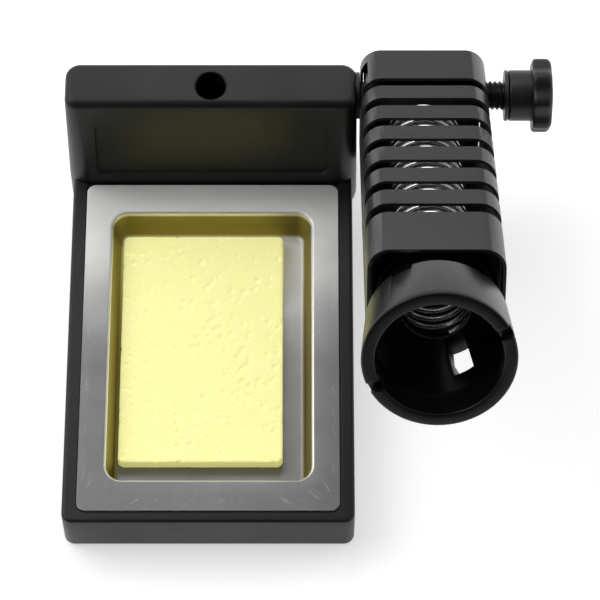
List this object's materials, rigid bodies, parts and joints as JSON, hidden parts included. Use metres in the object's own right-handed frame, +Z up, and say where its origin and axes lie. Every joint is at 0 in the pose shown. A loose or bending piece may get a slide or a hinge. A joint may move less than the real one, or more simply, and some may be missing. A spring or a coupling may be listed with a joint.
{
  "type": "soldering iron stand",
  "caption": "Soldering iron station: weighted base with a lift-out sponge tray and a slotted holder with a funnel mouth that tilts on a clamp knob.",
  "frame": {"origin": "under the middle of the whole stand's box, on the surface that it stands on", "axes": "+X from the base towards the clamp knob, +Y from the front edge to the tall rear block, +Z up"},
  "size_m": [0.1316, 0.1294, 0.111],
  "materials": {
    "black_plastic": "satin moulded",
    "ballast_steel": "plain rolled",
    "screw_steel": "zinc plated",
    "foot_rubber": "matte",
    "insert_brass": "turned",
    "washer_nylon": "matte",
    "tray_steel": "pressed, finely brushed",
    "cellulose_sponge": "open pores",
    "black_oxide_steel": "black oxide",
    "knob_plastic": "satin moulded",
    "black_paint": "satin powder coat",
    "black_bakelite": "glossy moulded",
    "spring_steel": "bright drawn wire"
  },
  "bodies": {
    "base": {"base_housing": "black_plastic", "bottom_cover": "black_plastic", "ballast_plate": "ballast_steel", "cover_screw_front_left": "screw_steel", "cover_screw_front_right": "screw_steel", "cover_screw_rear_left": "screw_steel", "cover_screw_rear_right": "screw_steel", "foot_front_left": "foot_rubber", "foot_front_right": "foot_rubber", "foot_rear_left": "foot_rubber", "foot_rear_right": "foot_rubber", "threaded_insert": "insert_brass", "friction_washer": "washer_nylon"},
    "tray": {"sponge_tray": "tray_steel"},
    "cleaning_sponge": {"sponge": "cellulose_sponge"},
    "holder": {"holder_cage": "black_paint", "rear_plate": "black_paint", "front_plate": "black_paint", "funnel": "black_bakelite", "spring": "spring_steel", "funnel_screw_left": "screw_steel", "funnel_screw_right": "screw_steel", "pivot_sleeve": "black_oxide_steel"},
    "washer": {"clamp_washer": "black_oxide_steel"},
    "clamp_knob": {"knob_head": "knob_plastic", "knob_stud": "black_oxide_steel"}
  },
  "joints": [
    {"name": "holder_tilt", "type": "hinge", "parent": "base", "child": "holder", "pos_m": [0.03084, 0.05261, 0.039], "axis": [-1, 0, 0], "range_deg": [-31, 44]},
    {"name": "knob_travel", "type": "slide", "parent": "base", "child": "washer", "axis": [1, 0, 0], "range_m": [-0.0045, 0.005]},
    {"name": "knob_turn", "type": "hinge", "parent": "washer", "child": "clamp_knob", "pos_m": [0.0538, 0.05261, 0.039], "axis": [1, 0, 0], "range_deg": [-1300, 1445]},
    {"name": "tray_lift", "type": "slide", "parent": "base", "child": "tray", "axis": [0, 0, 1], "range_m": [0, 0.03]},
    {"name": "sponge_lift", "type": "slide", "parent": "tray", "child": "cleaning_sponge", "axis": [0, 0, 1], "range_m": [0, 0.025]}
  ],
  "couplings": [
    {"joint": "knob_turn", "follows": "knob_travel", "rad_per_m": 5026.5}
  ]
}
